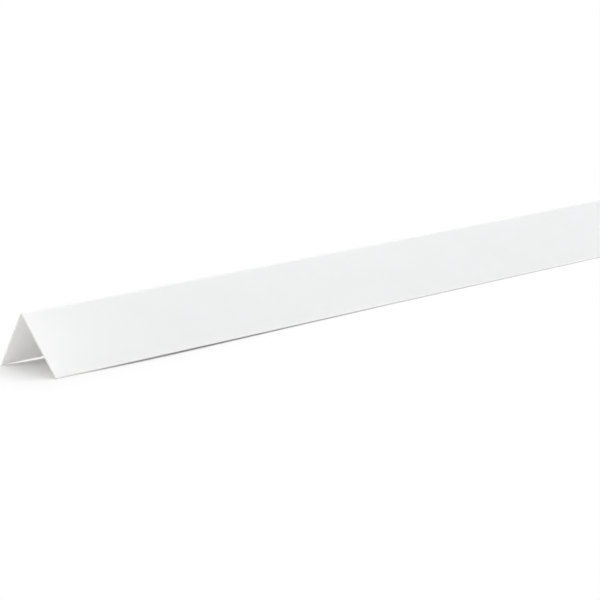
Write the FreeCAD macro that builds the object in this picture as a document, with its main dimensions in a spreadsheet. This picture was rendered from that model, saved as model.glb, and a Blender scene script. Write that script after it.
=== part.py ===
# Corner guard moulding: one equal-leg angle of white rigid PVC, extruded in one piece and cut square.
# It lies as it does on a floor, on the tips of its two legs, with the nose of the corner upwards.
# Frame, in millimetres: the length runs along X, +Z is up, and the legs spread evenly to -Y and +Y.
# The origin is on the floor, under the middle of the length.

import FreeCAD
import Part
import Sketcher

import math
import os

V = FreeCAD.Vector

# Driving sizes: alias, value in millimetres, meaning.
SIZES = [
    ("stock_length", 1000, "length of the piece as it is sold"),
    ("leg_width", 40, "outside width of each leg, from the other leg's outer face to its own tip"),
    ("wall", 1.2, "thickness of both legs"),
    ("nose_radius", 2, "rounding of the outer corner"),
    ("inside_radius", 0.8, "rounding of the inner corner, which keeps the wall even round the nose"),
    ("tip_flat", 0.4, "flat left between the two rounded edges of each leg's tip"),
]

# Outline elements of the section, anticlockwise from the nose as seen from +X.
(NOSE, LEFT_OUTER, LEFT_TIP_OUT, LEFT_TIP, LEFT_TIP_IN, LEFT_INNER,
 INSIDE, RIGHT_INNER, RIGHT_TIP_IN, RIGHT_TIP, RIGHT_TIP_OUT, RIGHT_OUTER) = range(12)

# How a constraint names the sketch's own vertical axis and origin, and the points of an element.
VERTICAL_AXIS, ORIGIN_POINT = range(-2, 0)
START, END, CENTRE = range(1, 4)


def write_sizes(doc):
    sheet = doc.addObject("Spreadsheet::Sheet", "Sizes")
    for row, (alias, value, meaning) in enumerate(SIZES, start=1):
        sheet.set(f"A{row}", alias)
        sheet.set(f"B{row}", str(value))
        sheet.setAlias(f"B{row}", alias)
        sheet.set(f"C{row}", meaning)
    doc.recompute()
    return sheet


def arc(centre, radius, start_deg, end_deg):
    circle = Part.Circle(centre, V(0, 0, 1), radius)
    return Part.ArcOfCircle(circle, math.radians(start_deg), math.radians(end_deg))


def section_outline(sheet):
    """Lines and arcs of the section, drawn at the sheet's sizes, for the constraints to hold."""
    tip_radius = (sheet.wall - sheet.tip_flat) / 2
    down_right = V(1, -1, 0).normalize()
    down_left = V(-1, -1, 0).normalize()
    # The nose's sharp corner stands above the floor so that the rounded tips just touch it.
    corner = V(0, (sheet.leg_width + sheet.wall) / math.sqrt(2) - tip_radius * (math.sqrt(2) - 1), 0)

    def at(along_right, along_left):
        return corner + down_right * along_right + down_left * along_left

    leg, wall, nose, inside = sheet.leg_width, sheet.wall, sheet.nose_radius, sheet.inside_radius
    eased = leg - tip_radius
    far_side = wall - tip_radius
    fillet = wall + inside
    return [
        arc(at(nose, nose), nose, 45, 135),
        Part.LineSegment(at(0, nose), at(0, eased)),
        arc(at(tip_radius, eased), tip_radius, 135, 225),
        Part.LineSegment(at(tip_radius, leg), at(far_side, leg)),
        arc(at(far_side, eased), tip_radius, 225, 315),
        Part.LineSegment(at(wall, eased), at(wall, fillet)),
        arc(at(fillet, fillet), inside, 45, 135),
        Part.LineSegment(at(fillet, wall), at(eased, wall)),
        arc(at(eased, far_side), tip_radius, 225, 315),
        Part.LineSegment(at(leg, far_side), at(leg, tip_radius)),
        arc(at(eased, tip_radius), tip_radius, 315, 405),
        Part.LineSegment(at(eased, 0), at(nose, 0)),
    ]


def add_size(sketch, name, formula, *constraint):
    """One driving dimension of the sketch, named and bound to the sheet."""
    index = sketch.addConstraint(Sketcher.Constraint(*constraint))
    sketch.renameConstraint(index, name)
    sketch.setExpression(f"Constraints.{name}", formula)


def draw_section(body, sheet):
    sketch = body.newObject("Sketcher::SketchObject", "Section")
    plane = next(item for item in body.Origin.OriginFeatures if item.Role == "YZ_Plane")
    sketch.AttachmentSupport = (plane, [""])
    sketch.MapMode = "FlatFace"
    outline = section_outline(sheet)
    sketch.addGeometry(outline, False)

    # Every line runs smoothly into its arc; only the inner corner's arc is passed from its end to its start.
    for before in range(len(outline)):
        after = (before + 1) % len(outline)
        leaves = START if before == INSIDE else END
        enters = END if after == INSIDE else START
        sketch.addConstraint(Sketcher.Constraint("Tangent", before, leaves, after, enters))

    # Both corners lie on the middle line; the legs are square to each other, with even walls and square tips.
    sketch.addConstraint([
        Sketcher.Constraint("PointOnObject", NOSE, CENTRE, VERTICAL_AXIS),
        Sketcher.Constraint("Horizontal", NOSE, START, NOSE, END),
        Sketcher.Constraint("PointOnObject", INSIDE, CENTRE, VERTICAL_AXIS),
        Sketcher.Constraint("Horizontal", INSIDE, START, INSIDE, END),
        Sketcher.Constraint("Perpendicular", LEFT_OUTER, RIGHT_OUTER),
        Sketcher.Constraint("Parallel", RIGHT_INNER, RIGHT_OUTER),
        Sketcher.Constraint("Perpendicular", RIGHT_TIP, RIGHT_OUTER),
        Sketcher.Constraint("Perpendicular", LEFT_TIP, LEFT_OUTER),
        Sketcher.Constraint("Equal", LEFT_TIP_OUT, LEFT_TIP_IN),
        Sketcher.Constraint("Equal", LEFT_TIP_OUT, RIGHT_TIP_IN),
        Sketcher.Constraint("Equal", LEFT_TIP_OUT, RIGHT_TIP_OUT),
    ])

    leg, wall, tip_radius = sheet.leg_width, sheet.wall, outline[LEFT_TIP_OUT].Radius
    tip_formula = "(Sizes.wall - Sizes.tip_flat) / 2"
    add_size(sketch, "RightLeg", "Sizes.leg_width", "Distance", RIGHT_TIP, START, LEFT_OUTER, leg)
    add_size(sketch, "LeftLeg", "Sizes.leg_width", "Distance", LEFT_TIP, START, RIGHT_OUTER, leg)
    add_size(sketch, "Wall", "Sizes.wall", "Distance", RIGHT_INNER, START, RIGHT_OUTER, wall)
    add_size(sketch, "NoseRadius", "Sizes.nose_radius", "Radius", NOSE, sheet.nose_radius)
    add_size(sketch, "InsideRadius", "Sizes.inside_radius", "Radius", INSIDE, sheet.inside_radius)
    add_size(sketch, "TipRadius", tip_formula, "Radius", LEFT_TIP_OUT, tip_radius)
    add_size(sketch, "TipOnFloor", tip_formula,
             "DistanceY", ORIGIN_POINT, START, RIGHT_TIP_IN, CENTRE, tip_radius)
    return sketch


def extrude(body, section):
    pad = body.newObject("PartDesign::Pad", "Extrusion")
    pad.Profile = section
    pad.SideType = "Symmetric"
    pad.setExpression("Length", "Sizes.stock_length")
    return pad


def make_corner_guard(doc, sheet):
    body = doc.addObject("PartDesign::Body", "CornerGuard")
    body.Label = "corner_guard"
    section = draw_section(body, sheet)
    extrude(body, section)
    doc.recompute()
    if not section.FullyConstrained:
        raise RuntimeError("the section is not fully constrained")
    return body


def check(doc, sub_parts):
    for item in doc.Objects:
        if {"Invalid", "Error"} & set(item.State):
            raise RuntimeError(f"{item.Label} failed to build: {item.State}")
    for part in sub_parts:
        if part.Shape.isNull() or not part.Shape.isValid():
            raise RuntimeError(f"{part.Label} has no valid shape")


def main():
    doc = FreeCAD.newDocument("CornerGuardMoulding")
    sheet = write_sizes(doc)
    sub_parts = [make_corner_guard(doc, sheet)]
    check(doc, sub_parts)
    os.makedirs("parts", exist_ok=True)
    for part in sub_parts:
        part.Shape.exportStep(f"parts/{part.Label}.step")
        box = part.Shape.BoundBox
        print(f"{part.Label}: {box.XLength:.2f} x {box.YLength:.2f} x {box.ZLength:.2f} mm,"
              f" from z {box.ZMin:.4f}, volume {part.Shape.Volume:.0f} mm3")


main()
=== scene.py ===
import math
import bpy
from mathutils import Matrix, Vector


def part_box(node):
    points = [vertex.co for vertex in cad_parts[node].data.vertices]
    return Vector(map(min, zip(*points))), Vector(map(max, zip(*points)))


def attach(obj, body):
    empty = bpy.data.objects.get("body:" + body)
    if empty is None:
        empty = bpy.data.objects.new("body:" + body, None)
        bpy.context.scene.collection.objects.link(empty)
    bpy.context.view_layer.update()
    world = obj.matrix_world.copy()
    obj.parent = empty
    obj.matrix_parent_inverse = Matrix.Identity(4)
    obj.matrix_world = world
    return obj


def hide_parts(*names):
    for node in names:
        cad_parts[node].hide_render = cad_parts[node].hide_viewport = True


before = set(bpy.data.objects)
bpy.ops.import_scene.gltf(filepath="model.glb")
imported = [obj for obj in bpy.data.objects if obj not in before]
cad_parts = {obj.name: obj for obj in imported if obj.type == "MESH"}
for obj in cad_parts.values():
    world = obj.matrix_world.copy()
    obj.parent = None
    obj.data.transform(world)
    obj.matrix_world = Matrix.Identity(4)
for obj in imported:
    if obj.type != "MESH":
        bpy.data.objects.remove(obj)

scene = bpy.context.scene
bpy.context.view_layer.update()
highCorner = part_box("corner_guard")[1]
halfLength = highCorner.x   # m, the length lies along X, middle at the origin
halfWidth = highCorner.y    # m, legs spread evenly to -Y and +Y
noseHeight = highCorner.z   # m, top of the rounded nose over the floor
print("frame: moulding of", round(2 * halfLength, 3), "m")


# wraps one node socket, so that node maths reads as plain arithmetic
class Wire:
    def __init__(self, tree, socket=None):
        self.tree = tree
        self.socket = socket

    # any node: its settings are set first, then the values or links of its sockets
    def node(self, kind, settings=None, sockets=None, output=0):
        made = self.tree.nodes.new(kind)
        for name, value in (settings or {}).items():
            if name == "choices":  # how many an index switch has
                while len(made.index_switch_items) < value:
                    made.index_switch_items.new()
            else:
                setattr(made, name, value)
        for name, value in (sockets or {}).items():
            if isinstance(value, Wire):
                self.tree.links.new(value.socket, made.inputs[name])
            else:
                made.inputs[name].default_value = value
        return Wire(self.tree, made.outputs[output] if made.outputs else None)

    # another output of the same node
    def other(self, output):
        return Wire(self.tree, self.socket.node.outputs[output])

    def maths(self, operation, first, second=0.0):
        return self.node("ShaderNodeMath", {"operation": operation}, {0: first, 1: second})

    def __add__(self, other):
        return self.maths("ADD", self, other)

    def __radd__(self, other):
        return self.maths("ADD", other, self)

    def __sub__(self, other):
        return self.maths("SUBTRACT", self, other)

    def __rsub__(self, other):
        return self.maths("SUBTRACT", other, self)

    def __mul__(self, other):
        return self.maths("MULTIPLY", self, other)

    def __rmul__(self, other):
        return self.maths("MULTIPLY", other, self)

    def atLeast(self, other):
        return self.maths("MAXIMUM", self, other)

    def atMost(self, other):
        return self.maths("MINIMUM", self, other)

    def size(self):
        return self.maths("ABSOLUTE", self)

    def root(self):
        return self.maths("SQRT", self)

    # 0 below one edge, 1 above the other, eased between
    def ramp(self, low, high):
        return self.node("ShaderNodeMapRange", {"interpolation_type": "SMOOTHSTEP"},
                         {"Value": self, "From Min": low, "From Max": high})

    # one colour where this is 0, the other where it is 1; by number, since the node's sockets share names
    def colours(self, first, second):
        sockets = {0: self, 6: first, 7: second}
        return self.node("ShaderNodeMix", {"data_type": "RGBA"}, sockets, output=2)


def newMaterial(name):
    material = bpy.data.materials.new(name)
    material.use_nodes = True
    material.node_tree.nodes.clear()
    return material, Wire(material.node_tree)


# place on the piece, in metres
def placeOn(wire):
    return wire.node("ShaderNodeTexCoord", output="Object")


# where a ray sees the bright studio itself: straight from the camera, or by gloss or glass
def seenRay(wire):
    paths = wire.node("ShaderNodeLightPath", output="Is Camera Ray")
    return paths.atLeast(paths.other("Is Glossy Ray")).atLeast(paths.other("Is Transmission Ray"))


# photo's camera
cameraLook = {
    "lens": 104.3,                        # mm
    "sensor": 36.0,                       # mm
    "place": (-0.8551, -0.7314, 0.161),   # m, left of and before the sawn end
    "heading": -35.14,                    # degrees from +Y, towards the far end
    "tilt": 9.8,                          # degrees below level
    "roll": 5.22,                         # degrees, right side down
    "clip": (0.01, 50.0),                 # m
}


def addCamera(look):
    data = bpy.data.cameras.new("photoCamera")
    data.lens = look["lens"]
    data.sensor_width = look["sensor"]
    data.clip_start, data.clip_end = look["clip"]
    camera = bpy.data.objects.new("photoCamera", data)
    turn = Matrix.Rotation(math.radians(look["heading"]), 4, "Z")
    nod = Matrix.Rotation(math.radians(90 - look["tilt"]), 4, "X")
    lean = Matrix.Rotation(math.radians(-look["roll"]), 4, "Z")
    camera.matrix_world = Matrix.Translation(look["place"]) @ turn @ nod @ lean
    scene.collection.objects.link(camera)
    scene.camera = camera


addCamera(cameraLook)
print("camera placed")


# white rigid PVC, as it leaves the die: satin, a little translucent, drawn out along the length
pvcLook = {
    "white": (0.952, 0.940, 0.920, 1.0),
    "greyer": (0.940, 0.928, 0.907, 1.0),      # the faint clouds in the white
    "sawnPaintedShade": (0.745, 0.735, 0.715, 1.0),   # painted shade: the sawn ends drawn greyer, as they lie in shade
    "endReach": 0.00025,                       # m from each end that counts as sawn and gets the painted shade
    "cloudSize": 0.03,                         # m
    "cloudNoise": {"Detail": 3.0, "Roughness": 0.55},
    "cloudEdges": (0.35, 0.65),                # of the noise, where white ends and greyer begins
    "roughness": 0.36,
    "sawnRoughness": 0.62,
    "streakRoughness": 0.07,                   # how much duller the drawn streaks get
    "streakWidth": 0.0012,                     # m across the face
    "streakLength": 0.25,                      # m along it
    "streakNoise": {"Scale": 1.0, "Detail": 4.0, "Roughness": 0.6},
    "streakEdges": (0.4, 0.75),                # of the noise, where streaks begin and are at their dullest
    "streakDepth": 0.000004,                   # m
    "peelSize": 0.0016,                        # m, the fine waves of a cooled surface
    "peelNoise": {"Detail": 1.0},
    "peelDepth": 0.000003,                     # m
    "sawMarkWave": {"Scale": 600.0, "Distortion": 3.0, "Detail": 3.0, "Detail Scale": 2.0},   # 0.7 mm apart
    "sawMarkDepth": 0.00003,                   # m
    "refraction": 1.53,                        # how strongly it bends light
    "glow": 1.0,                               # share of light that goes into the plastic
    "glowReach": 0.0028,                       # m that it travels there
    "glowTint": (1.0, 0.97, 0.94),             # share of that way for red, green and blue
}


def makePvc(look):
    material, wire = newMaterial("white_pvc")
    place = placeOn(wire)
    along = wire.node("ShaderNodeSeparateXYZ", sockets={"Vector": place}, output="X").size()
    sawnEndsAndPaintedShade = along.ramp(halfLength - look["endReach"], halfLength - look["endReach"] / 2)

    cloud = wire.node("ShaderNodeTexNoise", sockets={
        "Vector": place, "Scale": 1 / look["cloudSize"], **look["cloudNoise"]})
    moulded = cloud.ramp(*look["cloudEdges"]).colours(look["white"], look["greyer"])
    # painted shade: the sawn ends are darkened in the colour itself; the same mask also makes them rougher
    # and saw-marked
    white = sawnEndsAndPaintedShade.colours(moulded, look["sawnPaintedShade"])

    across = 1 / look["streakWidth"]
    drawn = wire.node("ShaderNodeMapping", sockets={
        "Vector": place, "Scale": (1 / look["streakLength"], across, across)})
    streak = wire.node("ShaderNodeTexNoise", sockets={"Vector": drawn, **look["streakNoise"]})
    peel = wire.node("ShaderNodeTexNoise", sockets={
        "Vector": place, "Scale": 1 / look["peelSize"], **look["peelNoise"]})
    sawMark = wire.node("ShaderNodeTexWave", {"bands_direction": "DIAGONAL"}, {
        "Vector": place, **look["sawMarkWave"]})

    clean = look["roughness"] + look["streakRoughness"] * streak.ramp(*look["streakEdges"])
    roughness = clean + sawnEndsAndPaintedShade * (look["sawnRoughness"] - clean)
    relief = (1 - sawnEndsAndPaintedShade) * (streak * look["streakDepth"] + peel * look["peelDepth"])
    relief = relief + sawnEndsAndPaintedShade * sawMark * look["sawMarkDepth"]
    bump = wire.node("ShaderNodeBump", sockets={"Strength": 1.0, "Distance": 1.0, "Height": relief})
    shader = wire.node("ShaderNodeBsdfPrincipled", {"subsurface_method": "RANDOM_WALK"}, {
        "Base Color": white, "Roughness": roughness, "Normal": bump, "IOR": look["refraction"],
        "Subsurface Weight": look["glow"], "Subsurface Radius": look["glowTint"],
        "Subsurface Scale": look["glowReach"]})
    wire.node("ShaderNodeOutputMaterial", sockets={"Surface": shader})
    return material


whitePvc = makePvc(pvcLook)
print("materials ready")


# the moulding: one L section drawn along the length; leg and wall follow from the frame
guardLook = {
    "noseRadius": 0.002,       # m, outer corner
    "insideRadius": 0.0008,    # m, inner corner
    "tipRadius": 0.0004,       # m, edges of both legs' tips
    "arcSteps": 10,            # points of each rounding
    "sawEase": 0.00012,        # m, broken edge round the sawn ends
    "sawEaseSteps": 2,
    "sharpFrom": 60.0,         # degrees, the turn from which an edge counts as sawn
    "flatWeight": 100,         # of 100, how far the wide flats rule the shading
}
slant = math.sqrt(0.5)         # of a way down a leg, the share that goes sideways, and as much downwards
tipRise = math.sqrt(2) - 1     # of a rounding's radius, how far its sharp corner would reach past it


def sectionTree():
    tree = bpy.data.node_groups.new("cornerGuardSection", "GeometryNodeTree")
    lengths = ("Length", "Leg", "Wall", "Nose Radius", "Inside Radius", "Tip Radius")
    for name in lengths:
        tree.interface.new_socket(name, in_out="INPUT", socket_type="NodeSocketFloat")
    tree.interface.new_socket("Arc Steps", in_out="INPUT", socket_type="NodeSocketInt")
    tree.interface.new_socket("Material", in_out="INPUT", socket_type="NodeSocketMaterial")
    tree.interface.new_socket("Geometry", in_out="OUTPUT", socket_type="NodeSocketGeometry")
    wire = Wire(tree)
    given = wire.node("NodeGroupInput")
    length, leg, wall, nose, inside, tip = (given.other(name) for name in lengths)

    # six corners, each by its way down the +Y leg, its way down the -Y leg and its radius;
    # drawn along the path, the section's X points to +Y and its Y downwards
    corners = [(0.0, 0.0, nose), (leg, 0.0, tip), (leg, wall, tip),
               (wall, wall, inside), (wall, leg, tip), (0.0, leg, tip)]
    sharpNose = (leg + wall) * slant - tip * tipRise   # height over the floor
    places = {"Index": wire.node("GeometryNodeInputIndex")}
    radii = dict(places)
    for number, (right, left, radius) in enumerate(corners, start=1):
        across = (right - left) * slant
        down = (right + left) * slant - sharpNose
        places[number] = wire.node("ShaderNodeCombineXYZ", sockets={"X": across, "Y": down})
        radii[number] = radius
    place = wire.node("GeometryNodeIndexSwitch", {"data_type": "VECTOR", "choices": len(corners)}, places)
    radius = wire.node("GeometryNodeIndexSwitch", {"data_type": "FLOAT", "choices": len(corners)}, radii)

    line = wire.node("GeometryNodeMeshLine", sockets={"Count": len(corners)})
    outline = wire.node("GeometryNodeSetPosition", sockets={"Geometry": line, "Position": place})
    curve = wire.node("GeometryNodeMeshToCurve", sockets={"Mesh": outline})
    closed = wire.node("GeometryNodeSetSplineCyclic", sockets={"Geometry": curve, "Cyclic": True})
    section = wire.node("GeometryNodeFilletCurve", {"mode": "POLY"}, {
        "Curve": closed, "Count": given.other("Arc Steps"), "Radius": radius, "Limit Radius": True})

    # the path runs from the +X end to the -X end
    ends = [wire.node("ShaderNodeCombineXYZ", sockets={"X": length * side}) for side in (0.5, -0.5)]
    path = wire.node("GeometryNodeCurvePrimitiveLine", sockets={"Start": ends[0], "End": ends[1]})
    stock = wire.node("GeometryNodeCurveToMesh", sockets={
        "Curve": path, "Profile Curve": section, "Fill Caps": True})
    smooth = wire.node("GeometryNodeSetShadeSmooth", sockets={"Geometry": stock})
    real = wire.node("GeometryNodeRealizeInstances", sockets={"Geometry": smooth})
    finished = wire.node("GeometryNodeSetMaterial", sockets={
        "Geometry": real, "Material": given.other("Material")})
    wire.node("NodeGroupOutput", sockets={"Geometry": finished})
    return tree


def addGuard(look):
    leg = (halfWidth + look["tipRadius"] * tipRise) / slant
    wall = (noseHeight + (look["noseRadius"] + look["tipRadius"]) * tipRise) / slant - leg
    print("guard: leg", round(leg * 1000, 3), "mm, wall", round(wall * 1000, 3), "mm")
    sizes = {
        "Length": 2 * halfLength, "Leg": leg, "Wall": wall, "Nose Radius": look["noseRadius"],
        "Inside Radius": look["insideRadius"], "Tip Radius": look["tipRadius"],
        "Arc Steps": look["arcSteps"], "Material": whitePvc,
    }
    guard = bpy.data.objects.new("cornerGuard", bpy.data.meshes.new("cornerGuard"))
    section = guard.modifiers.new("section", "NODES")
    section.node_group = sectionTree()
    for item in section.node_group.interface.items_tree:
        if item.name in sizes:
            section[item.identifier] = sizes[item.name]
    ease = guard.modifiers.new("sawEase", "BEVEL")
    ease.width = look["sawEase"]
    ease.segments = look["sawEaseSteps"]
    ease.limit_method = "ANGLE"
    ease.angle_limit = math.radians(look["sharpFrom"])
    even = guard.modifiers.new("flatFacesStayFlat", "WEIGHTED_NORMAL")
    even.weight = look["flatWeight"]
    scene.collection.objects.link(guard)
    graph = bpy.context.evaluated_depsgraph_get()
    seen = guard.evaluated_get(graph)
    guard.data = bpy.data.meshes.new_from_object(seen, preserve_all_data_layers=True, depsgraph=graph)
    guard.data.name = "cornerGuard"
    guard.modifiers.clear()
    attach(guard, "root")
    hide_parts("corner_guard")
    return guard


guard = addGuard(guardLook)
print("guard drawn:", len(guard.data.polygons), "faces")


# floor: plain white paper, a little hollow under both legs behind the -X end
floorLook = {
    "reach": 4.0,              # m, from the middle to each edge
    "white": (0.94, 0.94, 0.94, 1.0),
    "nearHollow": {"depth": 0.0008, "place": 0.06, "ease": 2},    # under the -Y leg, m, m behind the end
    "farHollow": {"depth": 0.00115, "place": 0.036, "ease": 1},   # under the +Y leg
    "hollowReach": 0.2,        # m to both sides, past which the paper is level again
    # rows of its mesh, m behind the -X end and m to both sides
    "rowsBehind": (0, 0.003, 0.006, 0.01, 0.015, 0.02, 0.03, 0.045,
                   0.06, 0.08, 0.1, 0.14, 0.2, 0.3, 0.5, 0.8),
    "rowsBeside": (0.1, 0.3),
    "glow": 0.1,               # share of plain white close to the moulding
    "fade": 0.026,             # m from the moulding, where the paper has turned to plain white
}


# deepest at its place, with a gentler start the more it is eased
def hollow(shape, behind):
    ratio = behind / shape["place"]
    return shape["depth"] * (ratio * math.exp(1 - ratio)) ** shape["ease"]


# how far the paper lies under the level of the moulding's feet
def paperDip(look, x, y):
    behind = max(x + halfLength, 0.0)
    near = hollow(look["nearHollow"], behind)
    far = hollow(look["farHollow"], behind)
    across = min(max(0.5 + y / (2 * halfWidth), 0.0), 1.0)
    return near + (far - near) * across if abs(y) < look["hollowReach"] else 0.0


def addFloor(look):
    xs = [-look["reach"], *(behind - halfLength for behind in look["rowsBehind"]), look["reach"]]
    ySteps = [halfWidth, *look["rowsBeside"], look["reach"]]
    ys = [-y for y in reversed(ySteps)] + [0.0] + ySteps
    verts = [(x, y, -paperDip(look, x, y)) for x in xs for y in ys]
    faces = []
    for i in range(len(xs) - 1):
        for j in range(len(ys) - 1):
            a = i * len(ys) + j
            faces.append((a, a + len(ys), a + len(ys) + 1, a + 1))
    mesh = bpy.data.meshes.new("studioFloor")
    mesh.from_pydata(verts, [], faces)

    material, wire = newMaterial("white_paper")
    split = wire.node("ShaderNodeSeparateXYZ", sockets={"Vector": placeOn(wire)}, output="X")
    pastEnd = (split.size() - halfLength).atLeast(0.0)
    pastSide = (split.other("Y").size() - halfWidth).atLeast(0.0)
    away = (pastEnd * pastEnd + pastSide * pastSide).root()
    glow = look["glow"] + (1 - look["glow"]) * (away * (1 / look["fade"])).atMost(1.0)
    paper = wire.node("ShaderNodeBsdfDiffuse", sockets={"Color": look["white"]})
    plain = wire.node("ShaderNodeEmission", sockets={"Color": (1, 1, 1, 1), "Strength": 1.0})
    mixed = wire.node("ShaderNodeMixShader", sockets={0: seenRay(wire) * glow, 1: paper, 2: plain})
    wire.node("ShaderNodeOutputMaterial", sockets={"Surface": mixed})
    mesh.materials.append(material)
    floor = bpy.data.objects.new("studioFloor", mesh)
    scene.collection.objects.link(floor)


addFloor(floorLook)
print("floor laid")


# light: an even white tent, and one soft box hung over the middle of the moulding
lightLook = {
    "tent": 0.94,                   # strength of the surrounding white on the object
    "lamp": 0.9,                    # W
    "lampSize": (0.5, 0.5),         # m along and across the moulding
    "lampPlace": (0.0, 0.0, 0.6),   # m
    "bounces": 6,                   # how often light may go on from a matt face
}


def addLight(look):
    world = bpy.data.worlds.new("whiteTent")
    world.use_nodes = True
    world.node_tree.nodes.clear()
    wire = Wire(world.node_tree)
    tent = wire.node("ShaderNodeBackground", sockets={"Color": (1, 1, 1, 1), "Strength": look["tent"]})
    plain = wire.node("ShaderNodeBackground", sockets={"Color": (1, 1, 1, 1), "Strength": 1.0})
    mixed = wire.node("ShaderNodeMixShader", sockets={0: seenRay(wire), 1: tent, 2: plain})
    wire.node("ShaderNodeOutputWorld", sockets={"Surface": mixed})
    scene.world = world

    data = bpy.data.lights.new("softBox", "AREA")
    data.shape = "RECTANGLE"
    data.energy = look["lamp"]
    data.size, data.size_y = look["lampSize"]
    lamp = bpy.data.objects.new("softBox", data)
    lamp.location = look["lampPlace"]
    scene.collection.objects.link(lamp)
    scene.cycles.diffuse_bounces = look["bounces"]
    scene.view_settings.view_transform = "Standard"


addLight(lightLook)
print("light set")
